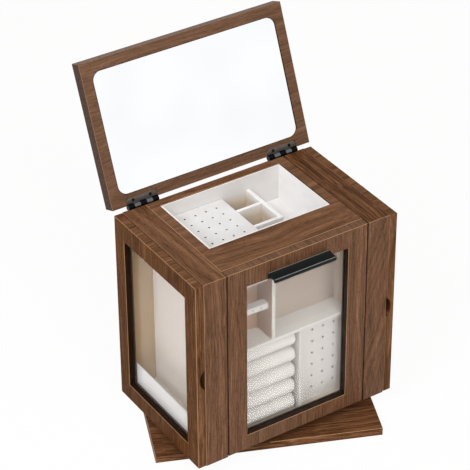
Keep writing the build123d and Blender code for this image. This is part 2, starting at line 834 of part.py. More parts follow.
with BuildPart() as cabinet_hinge_screws:
    with Locations(*hinge_screws(top_hinge, top_leaf_planes[:1])):
        add(countersunk(hinge_screw))
    with Locations(*hinge_screws(door_hinge, frame_leaf_planes)):
        add(countersunk(hinge_screw))
    mirror(about=Plane.YZ)
finish(cabinet_hinge_screws, "cabinet_hinge_screws")

bush_length = pivot_in_bush + bush_end
with BuildPart() as pivot_bushes:
    with Locations((stile_inner - bush_length / 2, pivot_y, pivot_z)):
        rod(bush_radius, bush_length)
        rod(pivot_radius + pivot_clear, bush_length, mode=Mode.SUBTRACT)
    mirror(about=Plane.YZ)
finish(pivot_bushes, "pivot_bushes")

with BuildPart() as cabinet_magnets:
    add(magnets(stile_magnets))
    mirror(about=Plane.YZ)
    add(magnets(top_magnets))
finish(cabinet_magnets, "cabinet_magnets")

# ======================================================================= lid
lid_face = lid_plane.offset(lid_axis_drop)
lid_middle = (0, lid_axis_back + cabinet_depth / 2)
mirror_width = cabinet_width - 2 * mirror_margin
mirror_length = cabinet_depth - 2 * mirror_margin
with BuildPart() as lid_panel:
    with BuildSketch(lid_face):
        with Locations(lid_middle):
            Rectangle(cabinet_width, cabinet_depth)
    extrude(amount=-lid_thick)
    chamfer(lid_panel.edges(), arris)
    with BuildSketch(lid_face):
        with Locations(lid_middle):
            RectangleRounded(mirror_width, mirror_length, mirror_corner)
    extrude(amount=-mirror_sunk - mirror_thick, mode=Mode.SUBTRACT)
    leaf_seats(lid_hinge, lid_leaf_planes)
    barrel_notches(lid_hinge, lid_leaf_planes)
    with Locations(*hinge_screws(lid_hinge, lid_leaf_planes)):
        pilot(hinge_screw)
finish(lid_panel, "lid_panel")

with BuildPart() as lid_mirror:
    with BuildSketch(lid_face.offset(-mirror_sunk)):
        with Locations(lid_middle):
            RectangleRounded(
                mirror_width - 2 * mirror_clear,
                mirror_length - 2 * mirror_clear,
                mirror_corner - mirror_clear,
            )
    extrude(amount=-mirror_thick)
    mirror_normal = Axis(lid_face.origin, lid_face.z_dir)
    chamfer(lid_mirror.faces().sort_by(mirror_normal)[-1].edges(), mirror_bevel)
finish(lid_mirror, "lid_mirror")

with BuildPart() as lid_hinge_leaves:
    with Locations(*[plane.location for plane in lid_leaf_planes]):
        add(hinge_leaf(lid_hinge, 1))
finish(lid_hinge_leaves, "lid_hinge_leaves")

with BuildPart() as lid_hinge_screws:
    with Locations(*hinge_screws(lid_hinge, lid_leaf_planes)):
        add(countersunk(hinge_screw))
finish(lid_hinge_screws, "lid_hinge_screws")

# ======================================================================= front door
front_low = cabinet_z + front_bottom_gap
front_height = top_z - front_low
front_thick = shell_thick - front_back_gap
front_face = Plane((0, front_y, front_low + front_height / 2), x_dir=(1, 0, 0), z_dir=(0, -1, 0))
front_window = (2 * (front_half - front_side_rail), front_height - front_bottom_rail - front_top_rail)
front_window_centre = (0, (front_bottom_rail - front_top_rail) / 2)
front_size = (2 * front_half, front_height)
handle_top = top_z - front_top_rail + handle_rise
handle_screw = Screw(handle_screw_head, handle_screw_shank, front_thick + handle_wall - handle_screw_cover)
handle_screw_middle = (0, front_door_back, handle_top - handle_screw_drop)
handle_screw_plane = Plane(handle_screw_middle, x_dir=(1, 0, 0), z_dir=(0, 1, 0))
handle_screw_spots = spread_spots(handle_screw_plane, handle_screw_spread)
with BuildPart() as front_door_frame:
    add(glazed_frame(front_face, front_size, front_window, front_window_centre, front_thick))
    bottom_edges = front_door_frame.faces().sort_by(Axis.Z)[0].edges().filter_by(Axis.X)
    fillet(bottom_edges.sort_by(Axis.Y)[-1], heel_radius)
    back_edges = front_door_frame.faces().sort_by(Axis.Y)[-1].outer_wire().edges()
    chamfer(back_edges.sort_by(Axis.Z)[-1], arris)
    with Locations((-front_half, pivot_y, pivot_z), (front_half, pivot_y, pivot_z)):
        rod(pivot_radius, 2 * pivot_in_door, mode=Mode.SUBTRACT)
    magnet_seats(front_door_magnets)
    with Locations(*handle_screw_spots):
        screw_hole(handle_screw, front_thick)
finish(front_door_frame, "front_door_frame")

with BuildPart() as front_door_glass:
    add(pane(front_face, front_window, front_window_centre))
finish(front_door_glass, "front_door_glass")

with BuildPart() as front_door_bead:
    add(bead(front_face, front_window, front_window_centre, front_thick))
finish(front_door_bead, "front_door_bead")

with BuildPart() as front_door_magnets_pair:
    add(magnets(front_door_magnets))
finish(front_door_magnets_pair, "front_door_magnets")

pin_length = pivot_in_door + front_side_gap + pivot_in_bush
pin_middle = front_half - pivot_in_door + pin_length / 2
with BuildPart() as front_door_pins:
    with Locations((-pin_middle, pivot_y, pivot_z), (pin_middle, pivot_y, pivot_z)):
        rod(pivot_radius, pin_length)
finish(front_door_pins, "front_door_pins")

with BuildPart() as handle:
    with BuildSketch(Plane.YZ):
        with BuildLine():
            foot = Line((front_y, handle_top - handle_foot), (front_y, handle_top))
            dish = SagittaArc(foot @ 1, (front_y - handle_reach, handle_top - handle_fall), handle_dish)
            Line(dish @ 1, dish @ 1 - (0, handle_lip))
            offset(amount=handle_wall, side=Side.LEFT)
        make_face()
        fillet(vertices(), handle_bend)
    extrude(amount=handle_length / 2, both=True)
    with Locations(*handle_screw_spots):
        Hole(handle_screw.shank, depth=handle_screw.length)
finish(handle, "handle")

with BuildPart() as handle_screws:
    with Locations(*handle_screw_spots):
        add(countersunk(handle_screw))
finish(handle_screws, "handle_screws")

# ======================================================================= side doors
side_height = cabinet_height - 2 * side_end_gap
side_size = (cabinet_depth, side_height)
side_window_width = cabinet_depth - side_front_rail - side_back_rail
side_window = (side_window_width, side_height - side_bottom_rail - side_top_rail)
side_window_centre = ((side_back_rail - side_front_rail) / 2, (side_bottom_rail - side_top_rail) / 2)
left_middle = (-cabinet_width / 2, 0, cabinet_z + cabinet_height / 2)
left_face = Plane(left_middle, x_dir=(0, -1, 0), z_dir=(-1, 0, 0))
moon_radius = (moon_length**2 / 4 + moon_depth**2) / (2 * moon_depth)
moon_centre = (moon_radius - moon_depth - carcass_half - side_door_gap, left_middle[2] - moon_offset)
with BuildPart() as left_door_frame:
    add(glazed_frame(left_face, side_size, side_window, side_window_centre, side_door_thick))
    chamfer(left_door_frame.faces().sort_by(Axis.X)[-1].outer_wire().edges(), arris)
    with BuildSketch(Plane.XZ.offset(-front_y)):
        with Locations(moon_centre):
            Circle(moon_radius)
    extrude(amount=-moon_reach, mode=Mode.SUBTRACT)
    magnet_seats(left_door_magnets)
    leaf_seats(door_hinge, door_leaf_planes)
    with Locations(*hinge_screws(door_hinge, door_leaf_planes)):
        pilot(hinge_screw)
finish(left_door_frame, "left_door_frame")
finish_mirrored(left_door_frame, "right_door_frame")

with BuildPart() as left_door_glass:
    add(pane(left_face, side_window, side_window_centre))
finish(left_door_glass, "left_door_glass")
finish_mirrored(left_door_glass, "right_door_glass")

with BuildPart() as left_door_bead:
    add(bead(left_face, side_window, side_window_centre, side_door_thick))
finish(left_door_bead, "left_door_bead")
finish_mirrored(left_door_bead, "right_door_bead")

with BuildPart() as left_door_magnet_pair:
    add(magnets(left_door_magnets))
finish(left_door_magnet_pair, "left_door_magnets")
finish_mirrored(left_door_magnet_pair, "right_door_magnets")

with BuildPart() as left_door_leaves:
    with Locations(*[plane.location for plane in door_leaf_planes]):
        add(hinge_leaf(door_hinge, 1))
finish(left_door_leaves, "left_door_leaves")
finish_mirrored(left_door_leaves, "right_door_leaves")

with BuildPart() as left_door_screws:
    with Locations(*hinge_screws(door_hinge, door_leaf_planes)):
        add(countersunk(hinge_screw))
finish(left_door_screws, "left_door_screws")
finish_mirrored(left_door_screws, "right_door_screws")
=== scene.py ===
"""Finishes, soft ring rolls, floor, light and camera of a rotating jewellery box, round its fixed frame.

Metres and +Z up, as in the frame: +X runs right along the cabinet's front and +Y to its back.
"""
from math import cos, pi, radians, sin

import bmesh
import bpy
from mathutils import Matrix, Vector


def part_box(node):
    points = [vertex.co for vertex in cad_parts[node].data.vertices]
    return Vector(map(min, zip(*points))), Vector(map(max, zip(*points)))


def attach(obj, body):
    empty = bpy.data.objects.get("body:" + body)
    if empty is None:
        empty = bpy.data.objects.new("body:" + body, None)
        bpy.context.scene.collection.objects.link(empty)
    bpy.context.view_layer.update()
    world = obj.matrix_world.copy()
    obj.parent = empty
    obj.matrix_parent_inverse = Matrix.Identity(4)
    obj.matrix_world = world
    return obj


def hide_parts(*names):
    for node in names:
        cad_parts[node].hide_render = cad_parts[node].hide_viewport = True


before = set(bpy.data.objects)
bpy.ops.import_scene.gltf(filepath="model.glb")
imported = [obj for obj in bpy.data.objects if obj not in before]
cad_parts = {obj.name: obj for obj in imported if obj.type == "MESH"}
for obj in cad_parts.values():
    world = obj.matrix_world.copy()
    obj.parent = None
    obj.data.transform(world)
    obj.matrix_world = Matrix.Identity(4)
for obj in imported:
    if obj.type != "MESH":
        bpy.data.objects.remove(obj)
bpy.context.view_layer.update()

MM = 0.001

# ======================================================================= sizes
# Millimetres and degrees
REBATE_WIDTH = 3.2              # glazing bead beyond the window's edge
DOOR_DEPTH = 20.0               # from a bead past both faces of its door
SLACK = 0.05                    # of a box round a face, so that the face lies inside it
SKIN_EDGE = 1.2                 # velvet on a pierced board, at its sides and on its face
SKIN_FACE = 0.2
BOXES_DEPTH = 40.0              # from the tray's dividers to the back of their small compartments
FADE_DEPTH = 14.0               # below the top of a box of painted shade, over which that shade fades in
BAY_REACH = 60.0                # from the hanger bars to all walls of their compartment
LID_AXIS = (89.9, 280.6)        # Y and Z of the lid hinges' pins
BARREL_RADIUS = 3.9
LEAF_BEND = 9.0                 # from the barrel to the flat of a lid hinge's leaf
HANDLE_FALL = 0.9               # ridge of the handle below its back edge
RIDGE_HIGHLIGHT = 0.5                # width of the painted highlight along the handle's ridge, to each side
BACK_HIGHLIGHT = (1.5, 1.0)          # and of that along its back edge, across and down
PLATE_TURN = -22.4              # of the base plate under the cabinet
LID_LEAN = 21.8                 # of the lid behind upright

# Ring rolls
ROLL_COUNT = 5
ROLL_GAP = 0.4
ROLL_INSET = 1.4                # of the bar that is blown up, all round
ROLL_STEPS = 14                 # flats round its front
ROLL_VOXEL = 4.0                # of its mesh
ROLL_PRESSURE = 4.0             # of the air in the cloth, and the frames that it works for
ROLL_FRAMES = 20
ROLL_SWELL = 3.0                # the furthest that the sleeve may move

# The walnut figure: its marks along and across the grain, drawn a little coarser than the print's so
# that they show
RING = (7.0, 1, 1)
BAND = (190, 9, 9)
STREAK = (90, 1.5, 1.5)
HAIR = (24, 0.9, 0.9)
PORE = (4.5, 1.1, 1.1)
GRAIN_WAVES = 11.0              # to a metre of grain

# Light and camera, in metres, degrees and millimetres of lens
BOX_MIDDLE = Vector((0, 0, 0.2))
CAMERA_PLACE = (-1.15960, -1.75364, 1.66811)
CAMERA_AZIMUTH = -32.818
CAMERA_ELEVATION = 34.000
CAMERA_ROLL = -0.409
CAMERA_LENS = 167.85

# ======================================================================= helpers
NOISE_MIDDLE = 0.5
NOISE_REACH = 0.25              # how far noise strays from its middle
FACING = 0.9                    # part of the normal along an axis, on faces that look along it
LEANING = 0.5                   # and on faces that lean to it


def linear(hex_colour):
    """The linear RGBA of an sRGB hex colour."""
    channels = [int(hex_colour[i:i + 2], 16) / 255 for i in (1, 3, 5)]
    return [c / 12.92 if c <= 0.04045 else ((c + 0.055) / 1.055) ** 2.4 for c in channels] + [1.0]


def add_node(tree, kind, *values, output=0, sockets=None, stops=None, **settings):
    """Add a node with its settings, and give the output that feeds the next one.

    values fill its first sockets in order and sockets fills others by name, each with a value or
    with the socket that feeds it. stops are a ramp's places and hex colours.
    """
    made = tree.nodes.new(f"ShaderNode{kind}")
    for name, value in settings.items():
        setattr(made, name, value)
    if stops:
        ramp = made.color_ramp.elements
        while len(ramp) < len(stops):
            ramp.new(1.0)
        for element, (place, colour) in zip(ramp, stops):
            element.position = place
            element.color = linear(colour)
    for name, value in [*enumerate(values), *(sockets or {}).items()]:
        if isinstance(value, bpy.types.NodeSocket):
            tree.links.new(value, made.inputs[name])
        else:
            made.inputs[name].default_value = value
    return made.outputs[output] if made.outputs else None


def new_material(name, fixed):
    """A material with one principled shader, whose fixed values are given by socket."""
    material = bpy.data.materials.new(name)
    material.use_nodes = True
    tree = material.node_tree
    tree.nodes.clear()
    surface = add_node(tree, "BsdfPrincipled", sockets=fixed)
    add_node(tree, "OutputMaterial", surface)
    return material, tree, surface.node


def feed_shader(tree, shader, colour, relief=None, relief_depth=0.0, roughness=None):
    """Feed a shader its colour, its roughness, and its relief of 0 to 1 over a depth in millimetres."""
    tree.links.new(colour, shader.inputs["Base Color"])
    if roughness:
        tree.links.new(roughness, shader.inputs["Roughness"])
    if relief:
        sizes = {"Height": relief, "Distance": relief_depth * MM, "Strength": 1.0}
        tree.links.new(add_node(tree, "Bump", sockets=sizes), shader.inputs["Normal"])


def across_noise(dark, light):
    """A ramp's stops that spread two hex colours over nearly all the values of noise."""
    return [(0.3, dark), (0.7, light)]


def marks(tree, place, size, detail=2.0):
    """Noise whose marks have a size in millimetres along X, Y and Z of place."""
    scaled = add_node(tree, "VectorMath", place, [1 / (MM * s) for s in size], operation="MULTIPLY")
    return add_node(tree, "TexNoise", sockets={"Vector": scaled, "Scale": 1.0, "Detail": detail})


def largest_part(tree, vector):
    """The largest of a vector's three sizes."""
    sizes = add_node(tree, "VectorMath", vector, operation="ABSOLUTE")
    x, y, z = add_node(tree, "SeparateXYZ", sizes).node.outputs
    return add_node(tree, "Math", add_node(tree, "Math", x, y, operation="MAXIMUM"), z, operation="MAXIMUM")


def within_box(tree, place, low, high):
    """1 inside the box between two corners, 0 outside it."""
    off_middle = add_node(tree, "VectorMath", place, (low + high) / 2, operation="SUBTRACT")
    share = add_node(tree, "VectorMath", off_middle, (high - low) / 2, operation="DIVIDE")
    return add_node(tree, "Math", largest_part(tree, share), 1.0, operation="LESS_THAN")


def with_grain_first(tree, place, along):
    """A place with its coordinate along the grain first."""
    parts = add_node(tree, "SeparateXYZ", place).node.outputs
    order = {"X": "XYZ", "Y": "YXZ", "Z": "ZXY"}[along]
    return add_node(tree, "CombineXYZ", *[parts[axis] for axis in order])


# ======================================================================= materials
def walnut(
    name,
    along,
    ends,
    pith,
    slope=0.02,
    drift=2.5,
    turn=(0, 0, 0),
    tint_and_shade="#ffffff",
    side_shade=None,
    gloss=0.05,
    contrast=1.0,
    figure=(0.4, 0.3, 0.95, 0.5),
    edge="#a9845f",
    joint="#1c0f07",
    joint_way=1.0,
    window=None,
):
    """Walnut-grain foil pressed on fibreboard and lacquered satin.

    It gives the eye warm brown bands that flow along the board, fine streaks and short dark pores
    under a soft, wide shine, and pale lines on bevelled edges, a painted highlight where they catch the
    light.
    along is the axis that the grain runs along, and ends the one that it runs along on the board's
    ends. pith is the middle of the tree beside the board, slope how much the board leans to it and
    drift how far the grain wanders, in millimetres. turn takes a leaning or turned board square.
    tint_and_shade tints the board, and on the right top board is painted shade that darkens it.
    Where a board has a side_shade, that painted shade darkens the faces to its left and right, and
    tint_and_shade tints its other faces alone. gloss is how strongly its lacquer mirrors the room.
    contrast is the strength of its figure, and figure the shares of rings, bands, streaks and hairs
    in it.
    edge is the painted highlight on its outer bevels, and joint the colour of the bevels in its
    joints: those that face the cabinet's middle, or with a joint_way of -1 those that face its sides.
    window is the box round the cut edges of a door's opening.
    """
    browns = [(0.1, "#412715"), (0.32, "#5d3f28"), (0.5, "#77533a"), (0.68, "#8e694c"), (0.9, "#aa8665")]
    middle_brown = 0.425
    pore_brown, pore_strength = "#34210f", 0.3
    pore_from = 0.66            # only the peaks of the noise are pores
    bevel_normal, bevel_slack = 0.7071, 0.012
    cut_edge = "#24170e"
    smoothest, streak_rough, pore_rough = 0.4, 0.16, 0.2

    material, tree, shader = new_material(name, {"IOR": 1.5, "Specular IOR Level": gloss})
    here = add_node(tree, "TexCoord").node.outputs
    squared = [{"Vector": here[kind], "Rotation": turn} for kind in ("Object", "Normal")]
    place, normal = [
        add_node(tree, "VectorRotate", sockets=sockets, rotation_type="EULER_XYZ") for sockets in squared
    ]
    sizes = add_node(tree, "VectorMath", normal, operation="ABSOLUTE")
    faces = add_node(tree, "SeparateXYZ", sizes).node.outputs
    is_end = add_node(tree, "Math", faces[along], FACING, operation="GREATER_THAN")
    on_face, on_end = [with_grain_first(tree, place, axis) for axis in (along, ends)]
    straight = add_node(tree, "MixRGB", is_end, on_face, on_end)

    # the grain swings to and fro along the board
    waves = {"Vector": straight, "Scale": GRAIN_WAVES, "Detail": 1.0}
    swing = add_node(tree, "TexNoise", output="Color", sockets=waves)
    swing = add_node(tree, "VectorMath", swing, [NOISE_MIDDLE] * 3, operation="SUBTRACT")
    reach = drift / NOISE_REACH * MM
    swing = add_node(tree, "VectorMath", swing, (0, reach, reach), operation="MULTIPLY")
    grain = add_node(tree, "VectorMath", straight, swing, operation="ADD")

    # growth rings round the pith, which leans a little to the board
    sideways = add_node(tree, "VectorMath", grain, (0, 1, 1), operation="MULTIPLY")
    pith_place = (0, pith[0] * MM, pith[1] * MM)
    from_pith = add_node(tree, "VectorMath", sideways, pith_place, operation="SUBTRACT")
    radius = add_node(tree, "VectorMath", from_pith, output="Value", operation="LENGTH")
    length = add_node(tree, "SeparateXYZ", grain)
    leaning = add_node(tree, "Math", length, slope, radius, operation="MULTIPLY_ADD")
    rings = marks(tree, add_node(tree, "CombineXYZ", leaning), RING)

    # the figure: rings, and along the grain bands, streaks and hairs
    bands = marks(tree, grain, BAND, detail=1.0)
    streaks = marks(tree, grain, STREAK)
    hairs = marks(tree, grain, HAIR, detail=1.0)
    depth = middle_brown - contrast * sum(figure) * NOISE_MIDDLE
    for pattern, share in zip((rings, bands, streaks, hairs), figure):
        depth = add_node(tree, "Math", pattern, contrast * share, depth, operation="MULTIPLY_ADD")
    brown = add_node(tree, "ValToRGB", depth, stops=browns)

    # pores, short dark dashes along the grain
    pore = add_node(tree, "Math", marks(tree, grain, PORE, detail=0.0), pore_from, operation="GREATER_THAN")
    darker = add_node(tree, "Math", pore, pore_strength, operation="MULTIPLY")
    colour = add_node(tree, "MixRGB", darker, brown, linear(pore_brown))

    # the tint, painted shade on the right top board, and where it is given, the painted shade of the faces
    # to the left and right
    tint = linear(tint_and_shade)
    if side_shade:
        is_side = add_node(tree, "Math", faces["X"], FACING, operation="GREATER_THAN")
        tint = add_node(tree, "MixRGB", is_side, tint, linear(side_shade))
    colour = add_node(tree, "MixRGB", 1.0, colour, tint, blend_type="MULTIPLY")

    # bevelled edges: a thin pale line of painted highlight, and dark in a joint
    steepest = largest_part(tree, normal)
    is_bevel = add_node(tree, "Math", steepest, bevel_normal, bevel_slack, operation="COMPARE")
    outward = add_node(tree, "VectorMath", place, normal, operation="MULTIPLY")
    sideways_out = add_node(tree, "SeparateXYZ", outward, output="X")
    sideways_out = add_node(tree, "Math", sideways_out, joint_way, operation="MULTIPLY")
    is_joint = add_node(tree, "Math", sideways_out, 0.0, operation="LESS_THAN")
    bevel = add_node(tree, "MixRGB", is_joint, linear(edge), linear(joint))
    colour = add_node(tree, "MixRGB", is_bevel, colour, bevel)

    # the window's cut edges, stained dark
    if window:
        is_cut = within_box(tree, here["Object"], *window)
        colour = add_node(tree, "MixRGB", is_cut, colour, linear(cut_edge))

    # streaks and pores shine less, and streaks stand up beside sunk pores
    shine = add_node(tree, "Math", streaks, streak_rough, smoothest, operation="MULTIPLY_ADD")
    shine = add_node(tree, "Math", pore, pore_rough, shine, operation="MULTIPLY_ADD")
    raised = add_node(tree, "Math", streaks, pore, operation="SUBTRACT")
    relief = add_node(tree, "Math", raised, 0.5, operation="MULTIPLY")
    feed_shader(tree, shader, colour, relief, relief_depth=0.06, roughness=shine)
    return material


def velvet(name, light="#e2dfd8", end_wall_shade=None, depth_shade=None, hole_shade=None):
    """Cream short-pile velvet glued on board.

    It gives the eye a soft warm white that is brighter towards its edges, a fine nap, and faint
    patches where the pile leans another way. end_wall_shade is the painted shade on faces to the
    front and the back. depth_shade is a box, and the painted shade that the pile takes towards its
    bottom, as in a small compartment. hole_shade is the box inside which the board is painted
    dark, as painted shade in the holes for earring posts.
    """
    pile = (0.8, 0.8, 0.8)      # coarser than real pile, so that it shows
    patch = (22, 22, 14)
    pale, full = "#f4f4f4", "#ffffff"
    hole_shade_colour = "#25282a"
    napped = {
        "Roughness": 0.95,
        "Specular IOR Level": 0.15,
        "Sheen Weight": 0.35,
        "Sheen Roughness": 0.45,
        "Sheen Tint": linear("#fffaf4"),
    }
    material, tree, shader = new_material(name, napped)
    here = add_node(tree, "TexCoord").node.outputs
    place = here["Object"]
    nap = marks(tree, place, pile)
    patches = marks(tree, place, patch, detail=1.0)
    both = add_node(tree, "Math", patches, nap, operation="ADD")
    both = add_node(tree, "Math", both, 0.5, operation="MULTIPLY")
    shade = add_node(tree, "ValToRGB", both, stops=across_noise(pale, full))
    colour = linear(light)
    # painted shade on faces to the front and the back
    if end_wall_shade:
        facing = add_node(tree, "SeparateXYZ", here["Normal"], output="Y")
        facing = add_node(tree, "Math", facing, operation="ABSOLUTE")
        is_end = add_node(tree, "Math", facing, LEANING, operation="GREATER_THAN")
        colour = add_node(tree, "MixRGB", is_end, colour, linear(end_wall_shade))
    # painted shade in the box, fading in from its top towards its bottom
    if depth_shade:
        low, high, shade_colour = depth_shade
        height = add_node(tree, "SeparateXYZ", place, output="Z")
        depth = add_node(tree, "MapRange", height, high.z - FADE_DEPTH * MM, high.z, 1.0, 0.0)
        in_depth_shade = add_node(tree, "Math", within_box(tree, place, low, high), depth, operation="MULTIPLY")
        colour = add_node(tree, "MixRGB", in_depth_shade, colour, linear(shade_colour))
    colour = add_node(tree, "MixRGB", 1.0, shade, colour, blend_type="MULTIPLY")
    # painted shade: dark in the holes for earring posts
    if hole_shade:
        colour = add_node(tree, "MixRGB", within_box(tree, place, *hole_shade), colour, linear(hole_shade_colour))
    feed_shader(tree, shader, colour, nap, relief_depth=0.12)
    return material


def float_glass(name):
    """Clear float glass 2 mm thick.

    It gives the eye almost nothing but a thin, sharp sheen at a low angle.
    """
    clear = {
        "Base Color": linear("#eef5f2"),
        "Roughness": 0.02,
        "IOR": 1.5,
        "Transmission Weight": 1.0,
        "Alpha": 0.07,
    }
    return new_material(name, clear)[0]


def mirror_silver(name):
    """Silvered mirror glass, polished flat.

    It gives the eye a sharp, slightly cool view of the room, and a bright line on its ground edge.
    """
    cloud = (60, 60, 60)
    material, tree, shader = new_material(name, {"Metallic": 1.0, "Roughness": 0.015})
    haze = marks(tree, add_node(tree, "TexCoord", output="Object"), cloud, detail=0.0)
    feed_shader(tree, shader, add_node(tree, "ValToRGB", haze, stops=across_noise("#f8fafc", "#fdfeff")))
    return material


def plated_steel(name, dark, light, roughness, barrel_colour=None, smoother=0.0):
    """Pressed steel with a thin metal plating: black on hinges, zinc on the bearing, gilt on hooks.

    It gives the eye a metal shine, broken by fine rolling marks and a little unevenness.
    barrel_colour is the colour of the barrels of the lid's hinges: black on the cabinet's knuckles,
    and a painted glint on the lid's. smoother is how much less rough they are. Beside them, the
    leaf darkens towards the barrel, as painted shade on its bend.
    """
    rolling_mark = (6, 0.4, 0.4)    # wider than real ones, so that they show
    blotch = (5, 5, 5)
    spread = 0.2                # from the smoothest mark to the roughest
    bend_shade = "#37322f"
    material, tree, shader = new_material(name, {"Metallic": 1.0})
    place = add_node(tree, "TexCoord", output="Object")
    rolled = marks(tree, place, rolling_mark)
    colour = add_node(tree, "ValToRGB", marks(tree, place, blotch), stops=across_noise(dark, light))
    rough = add_node(tree, "Math", rolled, spread, roughness - spread / 2, operation="MULTIPLY_ADD")
    if barrel_colour:
        axis_y, axis_z = LID_AXIS
        radius = BARREL_RADIUS * MM
        across = add_node(tree, "VectorMath", place, (0, 1, 1), operation="MULTIPLY")
        axis = (0, axis_y * MM, axis_z * MM)
        from_axis = add_node(tree, "VectorMath", across, axis, output="Value", operation="DISTANCE")
        # painted shade: the leaf darkens towards the barrel
        flat = add_node(tree, "MapRange", from_axis, radius, radius + LEAF_BEND * MM)
        colour = add_node(tree, "MixRGB", flat, linear(bend_shade), colour)
        # the barrels take barrel_colour, a painted glint on the lid's knuckles
        is_barrel = add_node(tree, "Math", from_axis, radius, operation="LESS_THAN")
        colour = add_node(tree, "MixRGB", is_barrel, colour, linear(barrel_colour))
        rough = add_node(tree, "Math", is_barrel, -smoother, rough, operation="MULTIPLY_ADD")
    feed_shader(tree, shader, colour, rolled, relief_depth=0.01, roughness=rough)
    return material


def powder_coat(name, dark, light, roughness, painted_highlights):
    """Black powder coat baked on metal.

    It gives the eye an even satin black with a faint pebbled texture and soft highlights.
    painted_highlights lists boxes round edges, each with the colour of the thin bright line painted
    there as a highlight.
    """
    pebble = (0.5, 0.5, 0.5)
    spread = 0.1                # of roughness over the pebbles
    material, tree, shader = new_material(name, {"IOR": 1.5, "Specular IOR Level": 0.1})
    place = add_node(tree, "TexCoord", output="Object")
    pebbles = marks(tree, place, pebble, detail=1.0)
    colour = add_node(tree, "ValToRGB", pebbles, stops=across_noise(dark, light))
    # painted highlights along edges
    for low, high, highlight_colour in painted_highlights:
        colour = add_node(tree, "MixRGB", within_box(tree, place, low, high), colour, linear(highlight_colour))
    rough = add_node(tree, "Math", pebbles, spread, roughness - spread / 2, operation="MULTIPLY_ADD")
    feed_shader(tree, shader, colour, pebbles, relief_depth=0.02, roughness=rough)
    return material


def moulded_plastic(name, dark, light, roughness):
    """Moulded plastic: the black and brown glazing beads, and the white acetal bushes.

    It gives the eye a plain body colour with a faint moulded grain.
    """
    speck = (0.6, 0.6, 0.6)     # coarser than a real moulded grain, so that it shows
    spread = 0.1                # of roughness over the grain
    material, tree, shader = new_material(name, {"IOR": 1.46})
    grain = marks(tree, add_node(tree, "TexCoord", output="Object"), speck)
    colour = add_node(tree, "ValToRGB", grain, stops=across_noise(dark, light))
    rough = add_node(tree, "Math", grain, spread, roughness - spread / 2, operation="MULTIPLY_ADD")
    feed_shader(tree, shader, colour, grain, relief_depth=0.015, roughness=rough)
    return material


def felt(name):
    """Black needle felt, glued under the base plate. It gives the eye a matt, fibrous black."""
    tuft = (1.5, 1.5, 0.5)
    matt = {"Roughness": 1.0, "Specular IOR Level": 0.1, "Sheen Weight": 0.2}
    material, tree, shader = new_material(name, matt)
    fibres = marks(tree, add_node(tree, "TexCoord", output="Object"), tuft, detail=4.0)
    colour = add_node(tree, "ValToRGB", fibres, stops=across_noise("#121110", "#2a2826"))
    feed_shader(tree, shader, colour, fibres, relief_depth=0.2)
    return material


def fibreboard(name):
    """Bare medium-density fibreboard. It gives the eye an even tan with specks of darker fibre."""
    chip = (1.0, 1.0, 0.4)
    material, tree, shader = new_material(name, {"Roughness": 0.85, "Specular IOR Level": 0.2})
    fibres = marks(tree, add_node(tree, "TexCoord", output="Object"), chip, detail=4.0)
    colour = add_node(tree, "ValToRGB", fibres, stops=across_noise("#8a6f52", "#b3977a"))
    feed_shader(tree, shader, colour, fibres, relief_depth=0.08)
    return material


def dress(material, *nodes):
    """Give CAD nodes their finish."""
    for name in nodes:
        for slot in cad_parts[name].material_slots:
            slot.material = material


# ======================================================================= boards
def window_of(bead, across):
    """The box round a glazed door's opening, as two corners, from the bead behind its glass."""
    low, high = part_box(bead)
    lap = Vector([(REBATE_WIDTH - SLACK) * MM] * 3)
    lap[across] = -DOOR_DEPTH * MM
    return low + lap, high - lap


